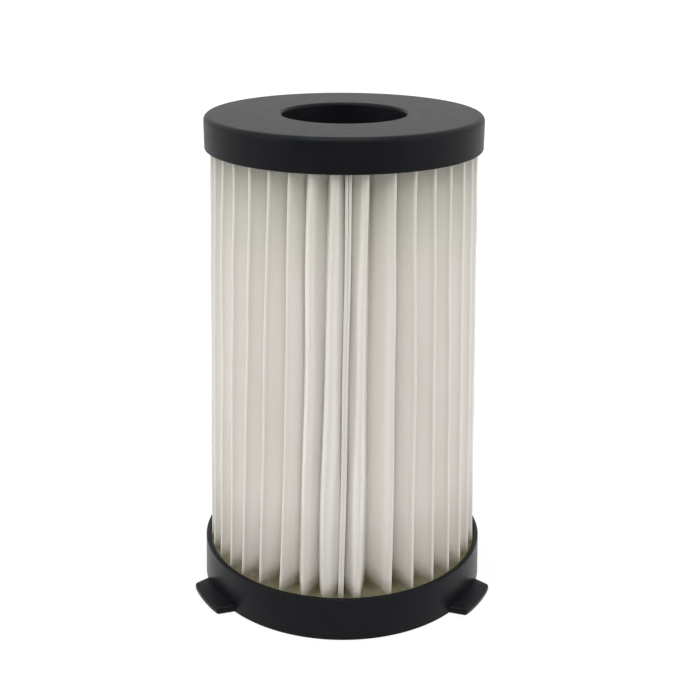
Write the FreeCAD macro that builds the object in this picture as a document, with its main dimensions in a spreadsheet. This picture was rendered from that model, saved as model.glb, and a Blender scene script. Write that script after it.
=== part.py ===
import FreeCAD, Part
import os
import Sketcher
from math import pi, radians
from FreeCAD import Placement, Rotation, Vector

# Pleated filter cartridge of a small bagless vacuum cleaner, in millimetres.
# It stands on its closed base at z = 0 on the Z axis, with the sheet's seam towards the front (-Y).
# Dusty air passes inwards through the pleats and leaves by the round outlet in the top cap.

NODES = ("top_cap", "pleated_media", "inner_cage", "top_potting", "bottom_potting", "bottom_cap")

# Driving sizes: name, value, meaning
SIZES = (
    ("total_height", 131.2, "base to top face"),
    ("fit_gap", 0.2, "radial clearance between pieces that slide together"),
    ("cap_diameter", 71.4, "outside of the top cap"),
    ("cap_height", 8.5, "top face to the lower edge of the skirt"),
    ("cap_wall", 1.2, "skirt of the top cap"),
    ("cap_face", 1.6, "flat face of the top cap"),
    ("cap_edge_radius", 1.4, "rounded outer edge of the top face"),
    ("outlet_diameter", 32.0, "clean air outlet, made for a duct spigot of that size"),
    ("outlet_lead_in", 0.8, "bevelled mouth that guides a duct into the outlet"),
    ("collar_wall", 1.3, "wall round the outlet"),
    ("collar_length", 10.0, "top face to the lower end of the outlet's wall"),
    ("base_diameter", 79.2, "outside of the bottom cap at the base"),
    ("cup_taper", 0.4, "how far the wall of the bottom cap leans in from base to rim"),
    ("cup_height", 12.0, "base to rim"),
    ("rim_wall", 1.3, "top of the rim"),
    ("floor_thickness", 1.6, "closed floor of the bottom cap"),
    ("cup_bevel", 0.3, "bevelled edges of the rim and of the base"),
    ("lug_count", 3, "bayonet lugs round the base"),
    ("lug_reach", 4.5, "how far a lug stands out of the base"),
    ("lug_thickness", 2.1, "flat plate of a lug"),
    ("lug_root_angle", 25.4, "degrees that a lug takes up at the base"),
    ("lug_tip_angle", 19.8, "degrees that a lug takes up at its tip"),
    ("lug_corner_radius", 1.0, "rounded corners of a lug"),
    ("cap_glue", 3.0, "bed of glue that seals the pleat ends into the top cap"),
    ("cup_glue", 9.2, "bed of glue in the bottom cap, nearly up to its rim"),
    ("pleat_count", 37, "folds of the sheet"),
    ("sheet_thickness", 0.5, "filter sheet"),
    ("seam_setback", 0.4, "how far the seam's edge lies inside the pleats"),
    ("seam_azimuth", 2.0, "degrees from the front to the seam"),
    ("cage_wall", 1.3, "wall of the support cage"),
    ("cage_sides", 10, "flat sides of the cage, each with a column of windows"),
    ("cage_rows", 4, "windows in a column"),
    ("cage_rib", 2.4, "bars between the windows"),
    ("cage_end", 9.5, "plain band at each end of the cage"),
)

doc = FreeCAD.newDocument("filter_cartridge")
sheet = doc.addObject("Spreadsheet::Sheet", "sizes")
for row, (alias, value, meaning) in enumerate(SIZES, start=1):
    sheet.set(f"A{row}", meaning)
    sheet.set(f"B{row}", str(value))
    sheet.setAlias(f"B{row}", alias)
doc.recompute()

# Sizes that follow from the driving ones
CAP_R = "sizes.cap_diameter / 2"
OUTLET_R = "sizes.outlet_diameter / 2"
COLLAR_R = f"({OUTLET_R} + sizes.collar_wall)"
SKIRT_INNER_R = f"({CAP_R} - sizes.cap_wall)"
BASE_R = "sizes.base_diameter / 2"
RIM_R = f"({BASE_R} - sizes.cup_taper)"
CUP_INNER_R = f"({RIM_R} - sizes.rim_wall)"
LUG_TIP_R = f"({BASE_R} + sizes.lug_reach)"
LUG_ROOT_R = f"(({CUP_INNER_R} + {BASE_R}) / 2)"

TOP_Z = "sizes.total_height"
CAP_UNDER_Z = f"({TOP_Z} - sizes.cap_face)"
FLOOR_Z = "sizes.floor_thickness"
PLEAT_TOP_Z = f"({CAP_UNDER_Z} - sizes.cap_glue)"
PLEAT_LOW_Z = f"({FLOOR_Z} + sizes.cup_glue)"

# The pleats fill the skirt above and the cup below, so pack and cage widen downwards by the same slope
RIDGE_TOP_R = f"({SKIRT_INNER_R} - sizes.fit_gap)"
RIDGE_LOW_R = f"({CUP_INNER_R} - sizes.fit_gap)"
SLOPE = f"(({RIDGE_LOW_R} - {RIDGE_TOP_R}) / ({PLEAT_TOP_Z} - {PLEAT_LOW_Z}))"
HALF_PITCH = "(180 / sizes.pleat_count)"
HALF_SIDE = "(180 / sizes.cage_sides)"


def cage_inner(z):
    """Distance from the axis to the inside of the cage's flat sides at a height."""
    return f"({COLLAR_R} + sizes.fit_gap + {SLOPE} * ({CAP_UNDER_Z} - {z}))"


def cage_outer(z):
    """Distance from the axis to the outside of the cage's flat sides at a height."""
    return f"({cage_inner(z)} + sizes.cage_wall)"


def ridge_r(z):
    """Radius of the pleats' outer folds at a height."""
    return f"({RIDGE_TOP_R} + {SLOPE} * ({PLEAT_TOP_Z} - {z}))"


def valley_r(z):
    """Radius of the pleats' inner folds at a height, just outside the cage's corners."""
    return f"({cage_outer(z)} / cos({HALF_SIDE}) + sizes.fit_gap)"


def size(text):
    """Value of a size expression."""
    return float(sheet.evalExpression(text))


def new_body(label):
    """Empty body of one sub-part."""
    body = doc.addObject("PartDesign::Body", label)
    body.Label = label
    return body


def origin_feature(body, role):
    """Origin plane or axis of a body."""
    return next(item for item in body.Origin.OriginFeatures if item.Role == role)


def new_sketch(body, name, plane, lift="0"):
    """Sketch on an origin plane of its body, lifted along the plane's normal."""
    sketch = body.newObject("Sketcher::SketchObject", name)
    sketch.AttachmentSupport = (origin_feature(body, plane), [""])
    sketch.MapMode = "FlatFace"
    sketch.setExpression("AttachmentOffset.Base.z", lift)
    return sketch


def bind(sketch, kind, first, second, text):
    """Dimension between two sketch points, bound to a size expression."""
    index = sketch.addConstraint(Sketcher.Constraint(kind, *first, *second, size(text)))
    sketch.setExpression(f"Constraints[{index}]", text)


def add_outline(sketch, corners):
    """Closed outline with straight sides; each corner is a pair of size expressions."""
    origin = (-1, 1)
    start = sketch.GeometryCount
    points = [Vector(size(x), size(y), 0) for x, y in corners]
    for one, two in zip(points, points[1:] + points[:1]):
        sketch.addGeometry(Part.LineSegment(one, two), False)
    count = len(points)
    for i in range(count):
        following = start + (i + 1) % count
        sketch.addConstraint(Sketcher.Constraint("Coincident", start + i, 2, following, 1))
    for i, (x, y) in enumerate(corners):
        bind(sketch, "DistanceX", origin, (start + i, 1), x)
        bind(sketch, "DistanceY", origin, (start + i, 1), y)


def revolve(body, name, corners):
    """Turned solid from an outline of (radius, height) corners."""
    sketch = new_sketch(body, f"{name}_profile", "XZ_Plane")
    add_outline(sketch, corners)
    turned = body.newObject("PartDesign::Revolution", name)
    turned.Profile = sketch
    turned.ReferenceAxis = (sketch, ["V_Axis"])
    turned.Angle = 360
    doc.recompute()
    return turned


def circle_edges(feature, radius, height):
    """Names of the round edges about the Z axis with a given radius and height."""
    found = []
    for number, edge in enumerate(feature.Shape.Edges, start=1):
        if not isinstance(edge.Curve, Part.Circle):
            continue
        right_radius = abs(edge.Curve.Radius - size(radius)) < 1e-4
        if right_radius and abs(edge.Curve.Center.z - size(height)) < 1e-4:
            found.append(f"Edge{number}")
    return found


def round_edges(body, name, feature, edges, radius):
    """Fillet of named edges."""
    fillet = body.newObject("PartDesign::Fillet", name)
    fillet.Base = (feature, edges)
    fillet.setExpression("Radius", radius)
    doc.recompute()
    return fillet


def bevel_edges(body, name, feature, edges, width):
    """Chamfer of named edges."""
    chamfer = body.newObject("PartDesign::Chamfer", name)
    chamfer.Base = (feature, edges)
    chamfer.setExpression("Size", width)
    doc.recompute()
    return chamfer


def repeat_round(body, name, feature, count):
    """Feature repeated evenly round the Z axis."""
    pattern = body.newObject("PartDesign::PolarPattern", name)
    pattern.Originals = [feature]
    pattern.Axis = (origin_feature(body, "Z_Axis"), [""])
    pattern.Angle = 360
    pattern.setExpression("Occurrences", count)
    body.Tip = pattern
    doc.recompute()
    return pattern


def make_top_cap():
    """Ring with a flat face, an outer skirt and a collar round the outlet."""
    body = new_body("top_cap")
    skirt_z = f"{TOP_Z} - sizes.cap_height"
    collar_z = f"{TOP_Z} - sizes.collar_length"
    ring = revolve(body, "cap_ring", [
        (OUTLET_R, collar_z),
        (COLLAR_R, collar_z),
        (COLLAR_R, CAP_UNDER_Z),
        (SKIRT_INNER_R, CAP_UNDER_Z),
        (SKIRT_INNER_R, skirt_z),
        (CAP_R, skirt_z),
        (CAP_R, TOP_Z),
        (OUTLET_R, TOP_Z),
    ])
    outer_edge = circle_edges(ring, CAP_R, TOP_Z)
    rounded = round_edges(body, "cap_edge", ring, outer_edge, "sizes.cap_edge_radius")
    mouth = circle_edges(rounded, OUTLET_R, TOP_Z)
    bevel_edges(body, "outlet_mouth", rounded, mouth, "sizes.outlet_lead_in")


def add_lug_outline(sketch):
    """Plan of the rear lug: two arcs about the Z axis joined by straight sides."""
    origin = (-1, 1)
    half_root = "sizes.lug_root_angle / 2"
    half_tip = "sizes.lug_tip_angle / 2"

    def arc(radius, half):
        circle = Part.Circle(Vector(), Vector(0, 0, 1), size(radius))
        spread = radians(size(half))
        return Part.ArcOfCircle(circle, pi / 2 - spread, pi / 2 + spread)

    root = sketch.addGeometry(arc(LUG_ROOT_R, half_root), False)
    tip = sketch.addGeometry(arc(LUG_TIP_R, half_tip), False)
    right = sketch.addGeometry(Part.LineSegment(sketch.getPoint(root, 1), sketch.getPoint(tip, 1)), False)
    left = sketch.addGeometry(Part.LineSegment(sketch.getPoint(tip, 2), sketch.getPoint(root, 2)), False)
    for one, two in (((root, 1), (right, 1)), ((right, 2), (tip, 1)), ((tip, 2), (left, 1)),
                     ((left, 2), (root, 2)), ((root, 3), origin), ((tip, 3), origin)):
        sketch.addConstraint(Sketcher.Constraint("Coincident", *one, *two))
    for curve, radius, half in ((root, LUG_ROOT_R, half_root), (tip, LUG_TIP_R, half_tip)):
        bind(sketch, "DistanceX", origin, (curve, 1), f"{radius} * sin({half})")
        bind(sketch, "DistanceY", origin, (curve, 1), f"{radius} * cos({half})")
        bind(sketch, "DistanceX", origin, (curve, 2), f"-{radius} * sin({half})")


def lug_corner_edges(feature):
    """Names of the upright edges at the tips of the lugs."""
    found = []
    for number, edge in enumerate(feature.Shape.Edges, start=1):
        low, high = edge.BoundBox.ZMin, edge.BoundBox.ZMax
        across = max(edge.BoundBox.XLength, edge.BoundBox.YLength)
        out = Vector(edge.CenterOfMass.x, edge.CenterOfMass.y, 0).Length
        if high - low > 1e-3 and across < 1e-3 and abs(out - size(LUG_TIP_R)) < 1e-3:
            found.append(f"Edge{number}")
    return found


def make_bottom_cap():
    """Closed cup with a tapered wall and flat bayonet lugs."""
    body = new_body("bottom_cap")
    rim_z = "sizes.cup_height"
    cup = revolve(body, "cup", [
        ("0", "0"),
        (BASE_R, "0"),
        (RIM_R, rim_z),
        (CUP_INNER_R, rim_z),
        (CUP_INNER_R, FLOOR_Z),
        ("0", FLOOR_Z),
    ])
    rim_edges = circle_edges(cup, RIM_R, rim_z) + circle_edges(cup, CUP_INNER_R, rim_z)
    base_edge = circle_edges(cup, BASE_R, "0")
    bevel_edges(body, "cup_edges", cup, rim_edges + base_edge, "sizes.cup_bevel")
    plan = new_sketch(body, "lug_plan", "XY_Plane")
    add_lug_outline(plan)
    lug = body.newObject("PartDesign::Pad", "lug")
    lug.Profile = plan
    lug.setExpression("Length", "sizes.lug_thickness")
    doc.recompute()
    lugs = repeat_round(body, "lugs", lug, "sizes.lug_count")
    rounded = round_edges(body, "lug_corners", lugs, lug_corner_edges(lugs), "sizes.lug_corner_radius")
    body.Tip = rounded


def loft_up(body, name, section, low_z, high_z):
    """Straight-sided solid between the sections at two heights."""
    ends = []
    for place, z in (("low", low_z), ("high", high_z)):
        sketch = new_sketch(body, f"{name}_{place}", "XY_Plane", z)
        add_outline(sketch, section(z))
        ends.append(sketch)
    loft = body.newObject("PartDesign::AdditiveLoft", name)
    loft.Profile = ends[0]
    loft.Sections = ends[1:]
    loft.Ruled = True
    doc.recompute()
    return loft


def cage_side_corners(z):
    """Section of one flat side of the cage about +X, cut off on the planes between the sides."""
    inner, outer = cage_inner(z), cage_outer(z)
    return [
        (inner, f"-{inner} * tan({HALF_SIDE})"),
        (outer, f"-{outer} * tan({HALF_SIDE})"),
        (outer, f"{outer} * tan({HALF_SIDE})"),
        (inner, f"{inner} * tan({HALF_SIDE})"),
    ]


def make_inner_cage():
    """Lattice that widens downwards: flat sides in a ring, each with a column of windows between bars."""
    body = new_body("inner_cage")
    side = loft_up(body, "cage_side", cage_side_corners, FLOOR_Z, CAP_UNDER_Z)
    closed = repeat_round(body, "cage_wall", side, "sizes.cage_sides")
    first_z = f"({FLOOR_Z} + sizes.cage_end)"
    row_pitch = f"(({CAP_UNDER_Z} - {FLOOR_Z} - 2 * sizes.cage_end + sizes.cage_rib) / sizes.cage_rows)"

    def half_width(z):
        return f"({cage_outer(z)} * tan({HALF_SIDE}) - sizes.cage_rib / 2)"

    column = new_sketch(body, "window_column", "YZ_Plane")
    for row in range(int(size("sizes.cage_rows"))):
        low = f"({first_z} + {row} * {row_pitch})"
        high = f"({low} + {row_pitch} - sizes.cage_rib)"
        add_outline(column, [
            (f"-{half_width(low)}", low),
            (half_width(low), low),
            (half_width(high), high),
            (f"-{half_width(high)}", high),
        ])
    opened = body.newObject("PartDesign::Pocket", "column_of_windows")
    opened.Profile = column
    opened.Type = "ThroughAll"
    opened.Reversed = True
    doc.recompute()
    repeat_round(body, "windows", opened, "sizes.cage_sides")
    if opened.Shape.Volume >= closed.Shape.Volume or body.Shape.Volume >= opened.Shape.Volume:
        raise RuntimeError("the windows don't open the cage's wall")


def pleat_corners(z):
    """Section of one pleat about +X: sharp on the inside of each fold, narrow and flat on the outside."""
    ridge, valley = ridge_r(z), valley_r(z)
    along, across = f"cos({HALF_PITCH})", f"sin({HALF_PITCH})"
    lean = f"atan({valley} * {across} / ({ridge} - {valley} * {along}))"
    fold = f"(sizes.sheet_thickness * (1 - sin({lean})) / cos({lean}))"
    outside = f"({valley} + sizes.sheet_thickness)"
    right = [
        (ridge, fold),
        (f"{outside} * {along}", f"{outside} * {across}"),
        (f"{valley} * {along}", f"{valley} * {across}"),
        (f"{valley} * {along} + {fold} * {across}", f"{valley} * {across} - {fold} * {along}"),
    ]
    left = [(x, f"-({y})") for x, y in reversed(right)]
    return right + [(f"{ridge} - sizes.sheet_thickness", "0")] + left


def seam_corners(z):
    """Section of the seam: both ends of the sheet laid together, upright in a valley."""
    along, across = f"cos({HALF_PITCH})", f"sin({HALF_PITCH})"
    thick = "sizes.sheet_thickness"
    near, far = f"({valley_r(z)} + {thick} / 2)", f"({ridge_r(z)} - sizes.seam_setback)"
    return [(f"{r} * {along} + {side}{thick} * {across}", f"{r} * {across} - {side}{thick} * {along}")
            for r, side in ((near, "-"), (near, ""), (far, ""), (far, "-"))]


def make_pleated_media():
    """One sheet folded into radial pleats and closed at a seam."""
    body = new_body("pleated_media")
    pleat = loft_up(body, "pleat", pleat_corners, PLEAT_LOW_Z, PLEAT_TOP_Z)
    repeat_round(body, "pleats", pleat, "sizes.pleat_count")
    body.Tip = loft_up(body, "seam", seam_corners, PLEAT_LOW_Z, PLEAT_TOP_Z)
    front = -90
    turn = front + size("sizes.seam_azimuth") - size(HALF_PITCH)
    body.Placement = Placement(Vector(), Rotation(Vector(0, 0, 1), turn))


def make_potting(label, low, high, inner, outer):
    """Flat ring of glue between the cage and the wall of a cap."""
    body = new_body(label)
    revolve(body, f"{label}_ring", [(inner, low), (outer, low), (outer, high), (inner, high)])


make_top_cap()
make_bottom_cap()
make_inner_cage()
make_pleated_media()
make_potting("top_potting", PLEAT_TOP_Z, CAP_UNDER_Z, valley_r(PLEAT_TOP_Z), RIDGE_TOP_R)
make_potting("bottom_potting", FLOOR_Z, PLEAT_LOW_Z, valley_r(FLOOR_Z), RIDGE_LOW_R)
doc.recompute()

for item in doc.Objects:
    if "Invalid" in item.State or "Error" in item.State:
        raise RuntimeError(f"{item.Label} failed: {item.State}")
os.makedirs("parts", exist_ok=True)
pieces = [doc.getObjectsByLabel(node)[0] for node in NODES]
for piece in pieces:
    if piece.Shape.isNull() or not piece.Shape.isValid():
        raise RuntimeError(f"{piece.Label} has no valid shape")
for piece in pieces:
    piece.Shape.exportStep(f"parts/{piece.Label}.step")
    print(f"{piece.Label}: {len(piece.Shape.Solids)} solid, {piece.Shape.Volume:.1f} mm3")
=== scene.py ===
import math

import bmesh
import bpy
import numpy as np
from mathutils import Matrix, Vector


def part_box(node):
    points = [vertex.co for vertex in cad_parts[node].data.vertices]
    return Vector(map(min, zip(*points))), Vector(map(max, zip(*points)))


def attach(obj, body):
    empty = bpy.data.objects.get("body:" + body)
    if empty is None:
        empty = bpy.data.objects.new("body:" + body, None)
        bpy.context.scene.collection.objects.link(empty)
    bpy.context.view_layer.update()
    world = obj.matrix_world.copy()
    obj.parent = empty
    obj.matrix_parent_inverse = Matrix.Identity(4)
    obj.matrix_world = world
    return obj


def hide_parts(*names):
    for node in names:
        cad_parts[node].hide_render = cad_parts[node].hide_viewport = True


# Looks of a pleated filter cartridge: two black mouldings, one folded filter sheet, a cage and two glue beds.
# The mouldings, the sheet and the lower glue are drawn anew over their solids. Lengths are millimetres until
# a mesh is made. Materials, lamps and the camera count in metres.
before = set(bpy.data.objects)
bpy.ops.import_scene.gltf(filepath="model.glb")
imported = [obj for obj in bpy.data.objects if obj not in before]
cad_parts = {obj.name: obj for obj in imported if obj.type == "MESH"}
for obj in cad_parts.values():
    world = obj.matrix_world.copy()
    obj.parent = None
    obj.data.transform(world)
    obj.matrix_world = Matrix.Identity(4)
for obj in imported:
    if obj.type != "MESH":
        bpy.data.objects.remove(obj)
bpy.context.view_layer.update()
scene = bpy.context.scene
MM = 0.001
FRONT = -90.0

# Sizes shared with the solids
TOTAL_HEIGHT = 131.2
CAP_RADIUS, CAP_HEIGHT, CAP_WALL, CAP_FACE = 35.7, 8.5, 1.2, 1.6
CAP_EDGE, OUTLET_LIP = 1.4, 0.8
OUTLET_RADIUS, COLLAR_WALL, COLLAR_LENGTH = 16.0, 1.3, 10.0
BASE_RADIUS, RIM_RADIUS, CUP_HEIGHT, RIM_WALL, FLOOR = 39.6, 39.2, 12.0, 1.3, 1.6
LUG_REACH, LUG_THICKNESS, LUG_CORNER = 4.5, 2.1, 1.0
LUG_ROOT_ANGLE, LUG_TIP_ANGLE = 25.4, 19.8
LUG_DIRECTIONS = (90.0, 210.0, 330.0)
CAP_GLUE, CUP_GLUE = 3.0, 9.2
SHEET, RIDGE_FOLD, VALLEY_FOLD, SEAM_SETBACK = 0.5, 0.30, 0.34, 0.4
FIT_GAP = 0.2
CAGE_CORNER_TOP, PACK_SLOPE = 19.77, 0.0294

# Small roundings of the mouldings, which the solids leave sharp
MOULDED_EDGE, INNER_CORNER, LUG_EDGE = 0.3, 0.5, 0.7

# Points that keep flats flat lie this far past a rounding's ends, or this share of its radius if that is less
FLAT_GUARD, FLAT_GUARD_SHARE = 0.08, 0.25

# How finely round shapes are cut, and the angles in degrees past which edges are shaded sharp
TURN_STEPS, ARC_STEPS = 240, 7
LUG_SIDE_STEPS, LUG_CORNER_STEPS, LUG_TIP_STEPS = 24, 9, 12
LUG_EDGE_STEPS, LUG_ACROSS_STEPS = 5, 9
CRISP_ANGLE, GLUE_CRISP_ANGLE = 50, 60


def rounded_profile(corners, steps=ARC_STEPS, closed=True):
    """Polygon of (x, y, radius) corners, each replaced by the circular arc that touches both of its sides.
    The arc starts and ends radius / tan(half the corner's angle) away from the corner, and a point close
    outside each end keeps the flats flat under smooth shading."""
    points = np.array([corner[:2] for corner in corners], float)
    radii = [corner[2] for corner in corners]
    count = len(points)
    pieces = []
    for i, radius in enumerate(radii):
        here = points[i]
        ends_here = not closed and i in (0, count - 1)
        if radius <= 0 or ends_here:
            pieces.append(here[None])
            continue
        back = points[i - 1] - here
        ahead = points[(i + 1) % count] - here
        back = back / np.linalg.norm(back)
        ahead = ahead / np.linalg.norm(ahead)
        half = math.acos(np.clip(back @ ahead, -1, 1)) / 2
        reach = radius / math.tan(half)
        middle = here + (back + ahead) / np.linalg.norm(back + ahead) * radius / math.sin(half)
        start, end = here + back * reach - middle, here + ahead * reach - middle
        sweep = math.pi - 2 * half
        t = np.linspace(0, 1, steps)[:, None]
        arc = (np.sin((1 - t) * sweep) * start + np.sin(t * sweep) * end) / math.sin(sweep) + middle
        guard = reach + min(FLAT_GUARD_SHARE * radius, FLAT_GUARD)
        pieces += [(here + back * guard)[None], arc, (here + ahead * guard)[None]]
    return np.concatenate(pieces)


def turned(profile, steps=TURN_STEPS):
    """Profile of (radius, height) carried round the axis: x = radius cos a, y = radius sin a, z = height.
    Rows follow the profile and columns follow the angle a."""
    a = np.linspace(0, 2 * np.pi, steps, endpoint=False)[None]
    r, z = profile[:, :1], profile[:, 1:]
    return np.stack([r * np.cos(a), r * np.sin(a), z + 0 * a], -1)


def grid_faces(rows, columns, wrap_rows, wrap_columns, offset=0):
    """Quads between neighbours of a grid of points numbered row by row, joined end to start if it wraps."""
    i = np.arange(rows if wrap_rows else rows - 1)[:, None]
    j = np.arange(columns if wrap_columns else columns - 1)[None]
    i2, j2 = (i + 1) % rows, (j + 1) % columns
    quads = np.stack([i * columns + j, i * columns + j2, i2 * columns + j2, i2 * columns + j], -1)
    return quads.reshape(-1, 4) + offset


def close_poles(mesh):
    """Join equal points, which closes poles, and turn all faces outwards."""
    equal_within = 1e-7
    bm = bmesh.new()
    bm.from_mesh(mesh)
    bmesh.ops.remove_doubles(bm, verts=bm.verts, dist=equal_within)
    bmesh.ops.recalc_face_normals(bm, faces=bm.faces)
    bm.to_mesh(mesh)
    bm.free()


def make_piece(name, points, faces, material, weld=False, smooth_angle=None):
    """Smooth mesh object at the origin, from points in millimetres and quads, sharp past a given angle."""
    mesh = bpy.data.meshes.new(name)
    mesh.vertices.add(len(points))
    mesh.vertices.foreach_set("co", (points * MM).astype(np.float32).ravel())
    mesh.loops.add(faces.size)
    mesh.loops.foreach_set("vertex_index", faces.astype(np.int32).ravel())
    mesh.polygons.add(len(faces))
    mesh.polygons.foreach_set("loop_start", np.arange(0, faces.size, 4, dtype=np.int32))
    mesh.update(calc_edges=True)
    mesh.validate()
    if weld:
        close_poles(mesh)
    mesh.shade_smooth()
    if smooth_angle is not None:
        mesh.set_sharp_from_angle(angle=math.radians(smooth_angle))
    mesh.materials.append(material)
    piece = bpy.data.objects.new(name, mesh)
    scene.collection.objects.link(piece)
    return piece


def plain_material(name):
    """New node material with an empty tree, its output and a shader."""
    material = bpy.data.materials.new(name)
    material.use_nodes = True
    tree = material.node_tree
    tree.nodes.clear()
    output = tree.nodes.new("ShaderNodeOutputMaterial")
    shader = tree.nodes.new("ShaderNodeBsdfPrincipled")
    tree.links.new(shader.outputs["BSDF"], output.inputs["Surface"])
    return material, tree, shader


def object_place(tree):
    """Place on the piece, in metres."""
    return tree.nodes.new("ShaderNodeTexCoord").outputs["Object"]


def height_of(tree, place):
    """Height of a place."""
    node = tree.nodes.new("ShaderNodeSeparateXYZ")
    tree.links.new(place, node.inputs["Vector"])
    return node.outputs["Z"]


def scaled_length(tree, place, factors):
    """Length of a place whose x, y and z are each multiplied by a factor."""
    scaled = tree.nodes.new("ShaderNodeVectorMath")
    scaled.operation = "MULTIPLY"
    scaled.inputs[1].default_value = factors
    tree.links.new(place, scaled.inputs[0])
    length = tree.nodes.new("ShaderNodeVectorMath")
    length.operation = "LENGTH"
    tree.links.new(scaled.outputs["Vector"], length.inputs[0])
    return length.outputs["Value"]


def reckon(tree, operation, *values):
    """Result of a Math node on values that are sockets or plain numbers."""
    node = tree.nodes.new("ShaderNodeMath")
    node.operation = operation
    for socket, value in zip(node.inputs, values):
        if isinstance(value, bpy.types.NodeSocket):
            tree.links.new(value, socket)
        else:
            socket.default_value = value
    return node.outputs["Value"]


def noise(tree, vector, scale, detail, roughness=0.5):
    """Fractal noise on a vector."""
    node = tree.nodes.new("ShaderNodeTexNoise")
    node.inputs["Scale"].default_value = scale
    node.inputs["Detail"].default_value = detail
    node.inputs["Roughness"].default_value = roughness
    tree.links.new(vector, node.inputs["Vector"])
    return node.outputs["Fac"]


def clouded(tree, factor, dark, light):
    """Colour that goes from dark to light as cloudy noise rises through the middle of its range."""
    middle = (0.3, 0.7)
    node = tree.nodes.new("ShaderNodeValToRGB")
    for element, position, colour in zip(node.color_ramp.elements, middle, (dark, light)):
        element.position, element.color = position, (*colour, 1)
    tree.links.new(factor, node.inputs["Fac"])
    return node.outputs["Color"]


def spread(tree, value, low, high, start=0.0, end=1.0, course="LINEAR"):
    """Value from start to end mapped to low to high, and held there beyond them."""
    node = tree.nodes.new("ShaderNodeMapRange")
    node.interpolation_type = course
    node.inputs["From Min"].default_value = start
    node.inputs["From Max"].default_value = end
    node.inputs["To Min"].default_value = low
    node.inputs["To Max"].default_value = high
    tree.links.new(value, node.inputs["Value"])
    return node.outputs["Result"]


def fading(tree, value, full, none):
    """1 up to a full value, 0 from another on and a smooth step between them."""
    return spread(tree, value, 1.0, 0.0, full, none, "SMOOTHSTEP")


def tinted(tree, colour, factor, tint):
    """Colour multiplied by a tint as far as a factor says."""
    node = tree.nodes.new("ShaderNodeMix")
    node.data_type = "RGBA"
    node.blend_type = "MULTIPLY"
    node.inputs["B"].default_value = (*tint, 1)
    tree.links.new(factor, node.inputs["Factor"])
    tree.links.new(colour, node.inputs["A"])
    return node.outputs["Result"]


def add_grain(tree, shader, grain, strength, depth):
    """Fine relief of a surface, as a bump of its shading."""
    bump = tree.nodes.new("ShaderNodeBump")
    bump.inputs["Strength"].default_value = strength
    bump.inputs["Distance"].default_value = depth
    tree.links.new(grain, bump.inputs["Height"])
    tree.links.new(bump.outputs["Normal"], shader.inputs["Normal"])


def moulded_black(name, dark, light, rough_low, rough_high):
    """Satin moulded plastic: cloudy near-black pigment, uneven gloss, more polished towards the foot, and the
    fine grain of an eroded mould."""
    foot_polish, foot_height, plain_height = 0.08, 0.02, 0.11
    material, tree, shader = plain_material(name)
    place = object_place(tree)
    pigment = clouded(tree, noise(tree, place, scale=160, detail=4), dark, light)
    tree.links.new(pigment, shader.inputs["Base Color"])
    uneven = spread(tree, noise(tree, place, scale=420, detail=5, roughness=0.6), rough_low, rough_high)
    near_foot = fading(tree, height_of(tree, place), foot_height, plain_height)
    tree.links.new(reckon(tree, "MULTIPLY_ADD", near_foot, -foot_polish, uneven), shader.inputs["Roughness"])
    add_grain(tree, shader, noise(tree, place, scale=5200, detail=2), strength=0.12, depth=0.00004)
    shader.inputs["Specular IOR Level"].default_value = 0.11
    shader.inputs["Specular Tint"].default_value = (0.93, 0.94, 1.0, 1)
    return material


def felted_sheet(name):
    """Off-white fibre felt with a soft matt surface: fibres drawn out along the folds, faint clouds, painted
    shade on the ridges, painted shade towards the foot, a painted shadow of the cap towards the top, and an
    olive foot, partly a stain where glue soaked in and partly painted shade.
    The olive edge is where height + a share of the radius - a share of cloudy noise passes a level, so it
    stands higher in the valleys than at the ridges."""
    ridge_shade_tint, foot_shade_tint, cap_shadow_tint = (0.88, 0.875, 0.86), (0.82, 0.815, 0.80), (0.905, 0.92, 0.89)
    glue_stain_and_shade_tint = (0.42, 0.385, 0.26)
    foot_shade_fade, cap_shadow_fade, glue_stain_and_shade_fade = (0.010, 0.040), (0.122, 0.092), (0.0182, 0.0260)
    radius_share, blot_share = 0.3, 0.003
    material, tree, shader = plain_material(name)
    unrolled = tree.nodes.new("ShaderNodeUVMap")
    unrolled.uv_map = "unrolled"
    flat = unrolled.outputs["UV"]
    drawn_out = tree.nodes.new("ShaderNodeMapping")
    drawn_out.inputs["Scale"].default_value = (1.0, 0.25, 1.0)
    tree.links.new(flat, drawn_out.inputs["Vector"])
    fibre = noise(tree, drawn_out.outputs["Vector"], scale=2.4, detail=6, roughness=0.65)
    cloud = noise(tree, flat, scale=0.16, detail=5, roughness=0.6)
    colour = clouded(tree, cloud, (0.974, 0.944, 0.900), (0.988, 0.960, 0.920))
    # Painted shade: the fold attribute darkens the ridges and the sheet's ends, dimming their highlights
    ridge_shade = tree.nodes.new("ShaderNodeAttribute")
    ridge_shade.attribute_name = "fold"
    colour = tinted(tree, colour, ridge_shade.outputs["Fac"], ridge_shade_tint)
    place = object_place(tree)
    height = height_of(tree, place)
    # Painted shade: the sheet is darker towards the cup
    colour = tinted(tree, colour, fading(tree, height, *foot_shade_fade), foot_shade_tint)
    # Painted shadow of the top cap over the upper part of the sheet
    colour = tinted(tree, colour, fading(tree, height, *cap_shadow_fade), cap_shadow_tint)
    # Olive foot, partly a glue stain and partly painted shade, reaching higher in the valleys than at the
    # ridges
    radius = scaled_length(tree, place, (radius_share, radius_share, 0))
    blot = noise(tree, flat, scale=0.45, detail=3)
    level = reckon(tree, "MULTIPLY_ADD", blot, -blot_share, reckon(tree, "ADD", height, radius))
    colour = tinted(tree, colour, fading(tree, level, *glue_stain_and_shade_fade), glue_stain_and_shade_tint)
    tree.links.new(colour, shader.inputs["Base Color"])
    tree.links.new(spread(tree, fibre, low=0.75, high=0.95), shader.inputs["Roughness"])
    add_grain(tree, shader, fibre, strength=0.25, depth=0.00012)
    shader.inputs["Specular IOR Level"].default_value = 0.1
    return material


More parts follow.
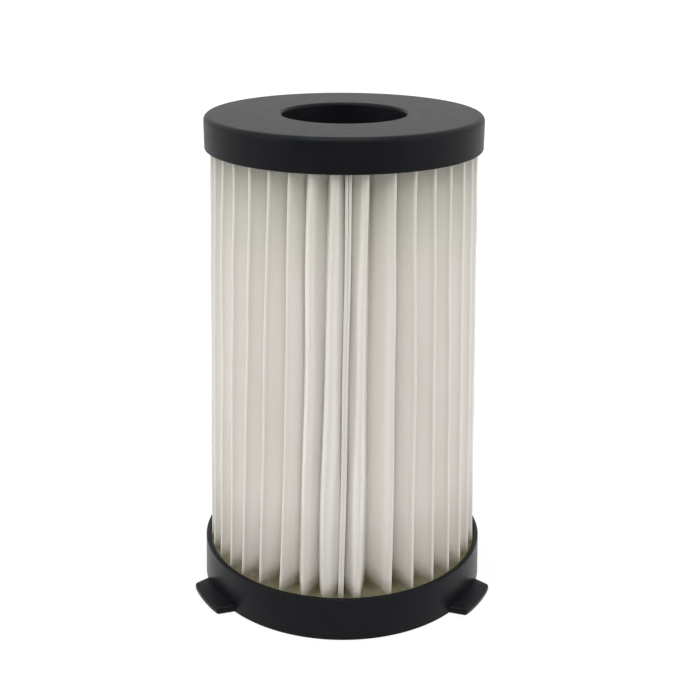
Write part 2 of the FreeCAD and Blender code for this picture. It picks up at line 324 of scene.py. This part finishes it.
def set_glue(name):
    """Cured potting glue: olive grey, slightly cloudy, with a dull skin."""
    material, tree, shader = plain_material(name)
    cloud = noise(tree, object_place(tree), scale=240, detail=4)
    colour = clouded(tree, cloud, (0.135, 0.122, 0.070), (0.185, 0.168, 0.098))
    tree.links.new(colour, shader.inputs["Base Color"])
    tree.links.new(spread(tree, cloud, low=0.35, high=0.55), shader.inputs["Roughness"])
    return material


BLACK = moulded_black("black_moulding", (0.0063, 0.0069, 0.0080), (0.0090, 0.0096, 0.0110), 0.36, 0.48)
CAGE_BLACK = moulded_black("cage_moulding", (0.012, 0.012, 0.013), (0.018, 0.018, 0.019), 0.38, 0.52)
FELT = felted_sheet("filter_felt")
GLUE = set_glue("cured_glue")


def make_top_cap():
    """Closed profile of the cap, turned about the axis: skirt, rounded edge, face, outlet and collar."""
    top, under = TOTAL_HEIGHT, TOTAL_HEIGHT - CAP_FACE
    skirt, collar = TOTAL_HEIGHT - CAP_HEIGHT, TOTAL_HEIGHT - COLLAR_LENGTH
    collar_radius = OUTLET_RADIUS + COLLAR_WALL
    profile = rounded_profile([
        (CAP_RADIUS, skirt, MOULDED_EDGE),
        (CAP_RADIUS, top, CAP_EDGE),
        (OUTLET_RADIUS, top, OUTLET_LIP),
        (OUTLET_RADIUS, collar, MOULDED_EDGE),
        (collar_radius, collar, MOULDED_EDGE),
        (collar_radius, under, INNER_CORNER),
        (CAP_RADIUS - CAP_WALL, under, INNER_CORNER),
        (CAP_RADIUS - CAP_WALL, skirt, MOULDED_EDGE),
    ])
    faces = grid_faces(len(profile), TURN_STEPS, True, True)
    return make_piece("top_cap_moulding", turned(profile).reshape(-1, 3), faces, BLACK)


def make_bottom_cap():
    """Profile of the cup from axis to axis, turned about the axis, and three flat lugs at its foot."""
    profile = rounded_profile([
        (0, FLOOR, 0),
        (RIM_RADIUS - RIM_WALL, FLOOR, INNER_CORNER),
        (RIM_RADIUS - RIM_WALL, CUP_HEIGHT, MOULDED_EDGE),
        (RIM_RADIUS, CUP_HEIGHT, MOULDED_EDGE),
        (BASE_RADIUS, 0, MOULDED_EDGE),
        (0, 0, 0),
    ], closed=False)
    points = [turned(profile).reshape(-1, 3)]
    faces = [grid_faces(len(profile), TURN_STEPS, False, True)]
    for direction in LUG_DIRECTIONS:
        lug = lug_loops(direction)
        closing = np.broadcast_to(lug[:1].mean(1, keepdims=True), (1, *lug.shape[1:]))
        lug = np.concatenate([closing, lug])
        faces.append(grid_faces(lug.shape[0], lug.shape[1], False, True, sum(map(len, points))))
        points.append(lug.reshape(-1, 3))
    return make_piece("bottom_cap_moulding", np.concatenate(points), np.concatenate(faces), BLACK,
                      weld=True, smooth_angle=CRISP_ANGLE)


def lug_side():
    """Half of a lug's plan along +X, and the outward direction at each of its points.
    The path runs along the tapered side, from inside the cup's wall, round the rounded corner and along the
    tip's arc about the axis to the tip's middle."""
    root, tip = RIM_RADIUS - 0.5 * RIM_WALL, BASE_RADIUS + LUG_REACH
    half_root, half_tip = math.radians(LUG_ROOT_ANGLE / 2), math.radians(LUG_TIP_ANGLE / 2)
    side = (tip * math.cos(half_tip), tip * math.sin(half_tip))
    foot = (BASE_RADIUS * math.cos(half_root), BASE_RADIUS * math.sin(half_root))
    lean = (side[1] - foot[1]) / (side[0] - foot[0])
    start = (root * math.cos(half_root), foot[1] + lean * (root * math.cos(half_root) - foot[0]))
    path = rounded_profile([(*start, 0), (*side, LUG_CORNER), (tip, 0, 0)], LUG_CORNER_STEPS, closed=False)
    straight = np.linspace(path[0], path[1], LUG_SIDE_STEPS)[:-1]
    curve = np.linspace(path[-2], path[-1], LUG_TIP_STEPS)[1:]
    curve[:, 0] = np.sqrt(tip ** 2 - curve[:, 1] ** 2)
    path = np.concatenate([straight, path[1:-1], curve])
    along = np.gradient(path, axis=0)
    along /= np.linalg.norm(along, axis=1)[:, None]
    outward = np.stack([-along[:, 1], along[:, 0]], -1)
    outward[-1] = (1, 0)
    return path, outward


def lug_loops(direction):
    """Flat lug along one direction: cross-section loops carried from the root to the tip.
    Each loop runs round the plate's thickness at a point of the side and at its mirror point, with a quarter
    circle over each of the plate's outer edges."""
    path, outward = lug_side()
    q = np.linspace(0, np.pi / 2, LUG_EDGE_STEPS)
    inset = LUG_EDGE * np.concatenate([1 - np.sin(q), 1 - np.cos(q)])
    height = np.concatenate([LUG_EDGE * (1 - np.cos(q)), LUG_THICKNESS - LUG_EDGE + LUG_EDGE * np.sin(q)])
    left = path[:, None] - inset[None, :, None] * outward[:, None]
    left[..., 1] = np.maximum(left[..., 1], 0)
    right = left[:, ::-1] * (1, -1)
    across = np.linspace(0, 1, LUG_ACROSS_STEPS)[1:-1][None, :, None]
    top = left[:, -1:] * (1 - across) + right[:, :1] * across
    low = right[:, -1:] * (1 - across) + left[:, :1] * across
    plan = np.concatenate([left, top, right, low], 1)
    n = top.shape[1]
    z = np.concatenate([height, np.full(n, LUG_THICKNESS), height[::-1], np.zeros(n)])
    turn = math.radians(direction)
    c, s = math.cos(turn), math.sin(turn)
    x, y = plan[..., 0] * c - plan[..., 1] * s, plan[..., 0] * s + plan[..., 1] * c
    return np.stack([x, y, z[None] + 0 * x], -1)


# Folds that show at the front: degrees from the front (to the right) at the top and at the bottom
SEAM_AT = (2.0, -0.5)
FRONT_FOLDS = (
    (9.2, 6.4), (20.5, 19.6), (29.7, 29.7), (39.0, 40.2), (48.6, 50.1), (58.7, 59.6), (68.8, 69.5),
    (-59.5, -64.0), (-50.4, -54.4), (-40.5, -45.7), (-30.5, -35.7), (-21.3, -25.7), (-11.9, -15.8),
    (-3.7, -7.1),
)
BACK_FOLDS = 23

# How far the valleys stand off the cage: everywhere, more round a place left of the seam, where the folds are
# crowded, and more again beside the seam
STAND_OFF = 6.0
CROWDED, CROWDED_AT, CROWDED_WIDTH = 2.7, 346.0, 13.0
SEAM_FOOT = 3.6

# The seam: thickness of the sheet's glued ends, half the gap between them, what is added to it at the top and
# the power of the height by which that comes
SEAM_SHEET = 0.68
SEAM_GAP, SEAM_OPENING, OPENING_POWER = 0.02, 0.06, 6

# Unevenness: size in degrees of each sine by which a fold wanders, the seam's share, and spreads of draws
WANDER, SEAM_WANDER_SHARE = np.array([0.32, 0.26, 0.18, 0.10, 0.06]), 0.6
BACK_SPREAD, RIDGE_SPREAD, RIDGE_WANDER = 0.55, 0.12, 0.06
VALLEY_TURN, VALLEY_SPREAD, WALL_BOW = 0.5, 0.25, 0.10
SHEET_SEED, GLUE_SEED = 11, 5

# Points of the sheet: rows up its height, points of a half circle and points inside a wall
SHEET_ROWS, FOLD_POINTS, WALL_POINTS = 44, 9, 5

# How far the sheet's ends sink into the glue, and how far from a ridge's top the painted shade on the ridges
# reaches
IN_GLUE, RIDGE_SHADE_LENGTH = 0.2, 1.1


def beside_cage(z):
    """Radius just outside the cage's corners at a height."""
    return CAGE_CORNER_TOP + FIT_GAP + PACK_SLOPE * (TOTAL_HEIGHT - CAP_FACE - z)


def fold_lines(draw, t, waves):
    """Degrees from the front of each outer fold at each height, from the seam round to the right, and of the
    seam. A fold runs from its place at the bottom to its place at the top and wanders between them by a sum
    of sines that are zero at both ends, where the glue holds it."""
    right = [fold for fold in FRONT_FOLDS if fold[0] > 0]
    left = [fold for fold in FRONT_FOLDS if fold[0] < 0]
    step = np.arange(1, BACK_FOLDS + 1)[:, None] / (BACK_FOLDS + 1)
    last, first = np.array(right[-1]), np.array(left[0]) + 360
    back = last + (first - last) * step + draw.normal(0, BACK_SPREAD, (BACK_FOLDS, 2))
    ends = np.concatenate([np.array(right), back, np.array(left) + 360])
    lines = ends[:, 1:] + (ends[:, :1] - ends[:, 1:]) * t
    lines = lines + (draw.normal(0, 1, (len(lines), len(WANDER))) * WANDER) @ waves
    seam_wander = (draw.normal(0, 1, len(WANDER)) * WANDER * SEAM_WANDER_SHARE) @ waves
    return lines, SEAM_AT[1] + (SEAM_AT[0] - SEAM_AT[1]) * t + seam_wander


def spot(radius, degrees):
    """Plan point at a radius and at degrees from the front."""
    a = np.radians(FRONT + degrees)
    return np.stack([radius * np.cos(a), radius * np.sin(a)], -1)


def half_circles(radius, degrees, facing, fold):
    """Half circles in plan that face out (1) or in (-1) and touch a radius: centre + fold (facing cos t
    outwards + sin t sideways), with t from -90 to 90 degrees."""
    t = np.linspace(-np.pi / 2, np.pi / 2, FOLD_POINTS)[None, :, None, None]
    a = np.radians(FRONT + degrees)[:, None]
    outwards = np.stack([np.cos(a), np.sin(a)], -1)
    sideways = np.stack([-np.sin(a), np.cos(a)], -1)
    centre = spot(radius - facing * fold, degrees)[:, None]
    return centre + fold * (facing * np.cos(t) * outwards + np.sin(t) * sideways)


def bowed_walls(draw, starts, ends, waves):
    """Walls from start to end points, bowed aside by 4 f (1 - f) times a bow that changes with the height,
    where f goes from 0 to 1 along the wall. The two walls at the seam stay straight."""
    f = np.linspace(0, 1, WALL_POINTS + 2)[1:-1][None, :, None, None]
    walls = starts[:, None] * (1 - f) + ends[:, None] * f
    heading = ends - starts
    heading /= np.linalg.norm(heading, axis=-1, keepdims=True)
    aside = np.stack([heading[..., 1], -heading[..., 0]], -1)[:, None]
    count = len(starts)
    bow = draw.normal(0, WALL_BOW, (count, 1)) + draw.normal(0, WALL_BOW, (count, len(WANDER))) @ waves
    bow[[0, -1]] = 0
    return walls + (4 * f * (1 - f)) * bow[:, None, :, None] * aside


def sheet_line(draw, z):
    """Middle line of the sheet in plan at each height, from one end of the sheet to the other, and where its
    walls start and end at the bottom. Valleys lie about midway between ridges, at the cage's radius + the
    stand-off + a bell curve over the crowded place."""
    t = np.linspace(0, 1, SHEET_ROWS)
    waves = np.sin(np.pi * np.outer(np.arange(1, len(WANDER) + 1), t))
    ridges, seam = fold_lines(draw, t, waves)
    count = len(ridges)
    uneven = draw.normal(0, RIDGE_SPREAD, (count, 1))
    uneven = uneven + draw.normal(0, RIDGE_WANDER, (count, len(WANDER))) @ waves
    pack_radius = CAP_RADIUS - CAP_WALL - FIT_GAP + PACK_SLOPE * (TOTAL_HEIGHT - CAP_FACE - CAP_GLUE - z)
    ridge_radius = pack_radius - SHEET / 2 - np.abs(uneven)

    between = (ridges[1:] + ridges[:-1]) / 2 + draw.normal(0, VALLEY_TURN, (count - 1, 1))
    gap = SEAM_GAP + SEAM_OPENING * t ** OPENING_POWER
    cage = beside_cage(z)
    beside = np.degrees((gap + SEAM_SHEET / 2 + VALLEY_FOLD) / (cage + STAND_OFF + SEAM_FOOT))
    valleys = np.concatenate([(seam + beside)[None], between, (seam + 360 - beside)[None]])
    crowded = CROWDED * np.exp(-((valleys - CROWDED_AT) / CROWDED_WIDTH) ** 2)
    valley_radius = cage + SHEET / 2 + STAND_OFF + draw.normal(0, VALLEY_SPREAD, (count + 1, 1)) + crowded
    valley_radius[[0, -1]] += SEAM_FOOT

    folds = np.empty((2 * count + 1, FOLD_POINTS, SHEET_ROWS, 2))
    folds[1::2] = half_circles(ridge_radius, ridges, 1, RIDGE_FOLD)
    folds[0::2] = half_circles(valley_radius, valleys, -1, VALLEY_FOLD)
    tip = ridge_radius.mean(0) - SEAM_SETBACK
    splay = np.degrees((gap + SEAM_SHEET / 2) / tip)
    first, last = spot(tip, seam + splay), spot(tip, seam + 360 - splay)
    starts = np.concatenate([first[None], folds[:, -1]])
    ends = np.concatenate([folds[:, 0], last[None]])
    walls = bowed_walls(draw, starts, ends, waves)
    body = np.concatenate([walls[:-1], folds], 1).reshape(-1, SHEET_ROWS, 2)
    line = np.concatenate([first[None], body, walls[-1], last[None]])
    return line, starts[:, 0], ends[:, 0]


def unroll(piece, line, z):
    """Give the sheet its UV map, which is length along the middle line and height, and the attribute fold,
    the mask of the painted shade on the ridges and ends, which is exp(-(d / ridge shade length) squared),
    with d the distance along the sheet to the nearest ridge or end."""
    u = np.concatenate([[0], np.linalg.norm(np.diff(line.mean(1), axis=0), axis=-1).cumsum()])
    stride = WALL_POINTS + FOLD_POINTS
    first_ridge = 1 + stride + WALL_POINTS + FOLD_POINTS // 2
    ridges = np.concatenate([[0], u[first_ridge::2 * stride], u[-1:]])
    ridge_shade = np.exp(-(np.abs(u[:, None] - ridges).min(1) / RIDGE_SHADE_LENGTH) ** 2)
    shape = (SHEET_ROWS, 2 * len(line))
    ridge_shade = np.broadcast_to(np.concatenate([ridge_shade, ridge_shade[::-1]])[None], shape)
    fold = piece.data.attributes.new("fold", "FLOAT", "POINT")
    fold.data.foreach_set("value", ridge_shade.astype(np.float32).ravel())
    u = np.broadcast_to(np.concatenate([u, u[::-1]])[None], shape)
    v = np.broadcast_to(z[:, None], shape)
    flat = np.stack([u, v], -1).reshape(-1, 2)
    layer = piece.data.uv_layers.new(name="unrolled")
    corner = np.empty(len(piece.data.loops), np.int32)
    piece.data.loops.foreach_get("vertex_index", corner)
    layer.data.foreach_set("uv", flat[corner].astype(np.float32).ravel())


def make_folded_sheet():
    """One sheet folded to and fro round the axis, open at the seam, where its two thicker ends stand side by
    side. Each fold is a half circle in plan, facing out at a ridge and in at a valley; walls that bow a
    little join fold to fold. Both faces lie half the sheet's thickness to either side of that middle line."""
    low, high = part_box("pleated_media")
    z = np.linspace(low.z / MM - IN_GLUE, high.z / MM + IN_GLUE, SHEET_ROWS)
    line, starts, ends = sheet_line(np.random.default_rng(SHEET_SEED), z)
    along = np.gradient(line, axis=0)
    along /= np.linalg.norm(along, axis=-1, keepdims=True)
    columns = len(line)
    thick = np.full((columns, 1, 1), SHEET)
    seam_points = 1 + WALL_POINTS
    thick[:seam_points] = thick[-seam_points:] = SEAM_SHEET
    side = np.stack([along[..., 1], -along[..., 0]], -1) * thick / 2
    loop = np.concatenate([line + side, (line - side)[::-1]])
    points = np.concatenate([loop, np.broadcast_to(z[None, :, None], (*loop.shape[:2], 1))], -1)
    points = points.transpose(1, 0, 2)
    faces = grid_faces(SHEET_ROWS, 2 * columns, False, True)
    j = np.arange(columns - 1)
    rim = np.stack([j + 1, j, 2 * columns - 1 - j, 2 * columns - 2 - j], -1)
    top = rim[:, ::-1] + (SHEET_ROWS - 1) * 2 * columns
    faces = np.concatenate([faces, rim, top])
    piece = make_piece("folded_filter_sheet", points.reshape(-1, 3), faces, FELT, smooth_angle=CRISP_ANGLE)
    unroll(piece, line, z)
    return piece, starts, ends


# Grid of the glue in the cup: columns round the axis, rows of the bed and fine rows beside the cup's wall
GLUE_COLUMNS, BED_ROWS, WALL_ROWS = 1110, 22, 6
BED_STOP, WALL_BAND = 1.0, 0.8

# How high the glue creeps up the sheet near the cup's wall, what is added further in, and how far it reaches
SHEET_CREEP, SHEET_CREEP_INSIDE, SHEET_CREEP_REACH = 0.2, 0.7, 0.7

# Distance from the cup's wall at which half of it is added, how gradually it comes, and the most of all creep
INSIDE_FROM, INSIDE_STEP, MOST_CREEP = 2.4, 0.4, 1.1

# Creep up the cup's wall and its reach, and the slow rolling of the bed
WALL_CREEP, WALL_CREEP_REACH = 0.35, 0.5
ROLL, ROLL_COUNT, ROLL_PHASES = 0.07, 7, 6.28


def distance_to_sheet(r, a, starts, ends):
    """Distance in plan from each point of a polar grid to the nearest wall of the sheet.
    A wall's angle goes evenly with the radius from its start to its end; the distance is the hypotenuse of
    the arc to it and of what the radius lies beyond its ends."""
    near = np.full((r.size, a.size), np.inf)
    start_r, end_r = np.hypot(*starts.T), np.hypot(*ends.T)
    start_a, end_a = np.arctan2(starts[:, 1], starts[:, 0]), np.arctan2(ends[:, 1], ends[:, 0])
    end_a = start_a + (end_a - start_a + np.pi) % (2 * np.pi) - np.pi
    for r1, r2, a1, a2 in zip(start_r, end_r, start_a, end_a):
        wall = a1 + (a2 - a1) * np.clip((r - r1) / (r2 - r1), 0, 1)
        aside = r * ((a - wall + np.pi) % (2 * np.pi) - np.pi)
        beyond = np.maximum(np.maximum(min(r1, r2) - r, r - max(r1, r2)), 0)
        near = np.minimum(near, np.hypot(aside, beyond))
    return near


def make_cup_glue(starts, ends):
    """Ring of glue in the cup, its closed profile carried round the axis.
    The top lies at the bed's level plus a creep that falls off exponentially with the distance to the nearest
    wall of the sheet and to the wall of the cup, and it rolls by a few slow sines."""
    draw = np.random.default_rng(GLUE_SEED)
    low, level = FLOOR, FLOOR + CUP_GLUE
    inner, outer = beside_cage(FLOOR), RIM_RADIUS - RIM_WALL
    bed = np.linspace(inner, outer - BED_STOP, BED_ROWS)
    r = np.concatenate([bed, np.linspace(outer - WALL_BAND, outer, WALL_ROWS)])[:, None]
    a = np.linspace(0, 2 * np.pi, GLUE_COLUMNS, endpoint=False)[None]
    away = np.maximum(distance_to_sheet(r, a, starts, ends) - SHEET / 2, 0)
    inside = 1 / (1 + np.exp((r - outer + INSIDE_FROM) / INSIDE_STEP))
    creep = (SHEET_CREEP + SHEET_CREEP_INSIDE * inside) * np.exp(-away / SHEET_CREEP_REACH)
    creep = creep + WALL_CREEP * np.exp((r - outer) / WALL_CREEP_REACH)
    turns = np.arange(1, ROLL_COUNT + 1)[:, None, None]
    rise = draw.normal(0, ROLL, (ROLL_COUNT, 1, 1))
    roll = (rise * np.sin(turns * a + draw.uniform(0, ROLL_PHASES, (ROLL_COUNT, 1, 1)))).sum(0)
    z = level + np.minimum(creep, MOST_CREEP) + roll
    top = np.stack([r * np.cos(a), r * np.sin(a), z], -1)
    foot = turned(np.array([(outer, low), (inner, low)]), GLUE_COLUMNS)
    points = np.concatenate([top, foot])
    faces = grid_faces(len(points), GLUE_COLUMNS, True, True)[:, ::-1]
    return make_piece("cup_glue_bed", points.reshape(-1, 3), faces, GLUE, smooth_angle=GLUE_CRISP_ANGLE)


def seen_directly(tree):
    """1 for rays from the camera and for those that a gloss or a clear body sends on, else 0."""
    path = tree.nodes.new("ShaderNodeLightPath").outputs
    first = reckon(tree, "MAXIMUM", path["Is Camera Ray"], path["Is Glossy Ray"])
    return reckon(tree, "MAXIMUM", first, path["Is Transmission Ray"])


def make_card(name, corners, material):
    """Flat four-cornered card of the stage."""
    return make_piece(name, np.array(corners, float), np.array([[0, 1, 2, 3]]), material)


def make_floor():
    """Wide white floor. Where it is seen, most of it glows as the white ground and the rest takes the part's
    shadow. The glowing share rises from near the part to all of it further out."""
    half = 3000.0
    near, far, near_share = 0.1, 0.5, 0.84
    material, tree, shader = plain_material("studio_floor")
    shader.inputs["Base Color"].default_value = (0.45, 0.45, 0.45, 1)
    shader.inputs["Roughness"].default_value = 0.9
    shader.inputs["Specular IOR Level"].default_value = 0.0
    glow = tree.nodes.new("ShaderNodeEmission")
    glow.inputs["Strength"].default_value = 1.1
    distance = scaled_length(tree, object_place(tree), (1, 1, 1))
    glowing = spread(tree, distance, near_share, 1.0, near, far, "SMOOTHSTEP")
    mix = tree.nodes.new("ShaderNodeMixShader")
    tree.links.new(reckon(tree, "MULTIPLY", seen_directly(tree), glowing), mix.inputs["Fac"])
    tree.links.new(shader.outputs["BSDF"], mix.inputs[1])
    tree.links.new(glow.outputs["Emission"], mix.inputs[2])
    tree.links.new(mix.outputs["Shader"], tree.nodes["Material Output"].inputs["Surface"])
    corners = [(-half, -half, 0), (half, -half, 0), (half, half, 0), (-half, half, 0)]
    floor = make_card("studio_floor", corners, material)


def make_dark_side():
    """Dark card behind the camera, as the unlit side of a studio, which only gloss and soft light meet."""
    y, half, low, high = -700.0, 700.0, 1.0, 600.0
    material, _, shader = plain_material("dark_card")
    shader.inputs["Base Color"].default_value = (0.03, 0.03, 0.03, 1)
    shader.inputs["Specular IOR Level"].default_value = 0.0
    corners = [(-half, y, low), (half, y, low), (half, y, high), (-half, y, high)]
    card = make_card("dark_card", corners, material)
    card.visible_camera = False


def light_world(strength):
    """Even white world: plain white where it is seen, and a given strength where it only lights the part."""
    world = bpy.data.worlds.new("studio")
    scene.world = world
    world.use_nodes = True
    tree = world.node_tree
    background = tree.nodes["Background"]
    background.inputs["Color"].default_value = (1, 1, 1, 1)
    level = spread(tree, seen_directly(tree), strength, 1.0)
    tree.links.new(level, background.inputs["Strength"])


def add_camera():
    """Camera at the photograph's place: above the front, looking down at about 21 degrees."""
    tilt, turn = 0.3624, 0.0047
    data = bpy.data.cameras.new("camera")
    data.sensor_width = 36.0
    data.lens = 59.52
    data.shift_x, data.shift_y = 0.0099, 0.0003
    camera = bpy.data.objects.new("camera", data)
    camera.location = (0, -0.2967, 0.1790)
    camera.rotation_mode = "ZXY"
    camera.rotation_euler = (math.pi / 2 - tilt, 0, turn)
    scene.collection.objects.link(camera)
    scene.camera = camera


def add_softbox(name, place, width, height, power):
    """Rectangular lamp at a place, turned to the middle of the part; it isn't seen by the camera."""
    target = Vector((0, 0, 0.06))
    data = bpy.data.lights.new(name, "AREA")
    data.shape = "RECTANGLE"
    data.size, data.size_y = width, height
    data.energy = power
    lamp = bpy.data.objects.new(name, data)
    lamp.location = place
    lamp.rotation_euler = (target - Vector(place)).to_track_quat("-Z", "Y").to_euler()
    lamp.visible_camera = False
    scene.collection.objects.link(lamp)


top_cap = make_top_cap()
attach(top_cap, "root")
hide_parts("top_cap")

bottom_cap = make_bottom_cap()
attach(bottom_cap, "root")
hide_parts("bottom_cap")

sheet, wall_starts, wall_ends = make_folded_sheet()
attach(sheet, "root")
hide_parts("pleated_media")

cup_glue = make_cup_glue(wall_starts, wall_ends)
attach(cup_glue, "root")
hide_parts("bottom_potting")

for node, material in (("inner_cage", CAGE_BLACK), ("top_potting", GLUE)):
    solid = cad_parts[node]
    solid.data.materials.clear()
    solid.data.materials.append(material)

make_floor()
make_dark_side()
add_camera()
light_world(strength=1.2)
add_softbox("softbox_front", (-0.12, -0.62, 0.80), width=0.4, height=0.4, power=0.2)
add_softbox("softbox_top", (-0.06, -0.22, 0.95), width=0.5, height=0.4, power=2.8)
add_softbox("softbox_left", (-0.75, -0.35, 0.45), width=0.4, height=0.5, power=1.2)
add_softbox("softbox_right", (0.75, -0.35, 0.45), width=0.4, height=0.5, power=1.1)
scene.view_settings.view_transform = "Standard"
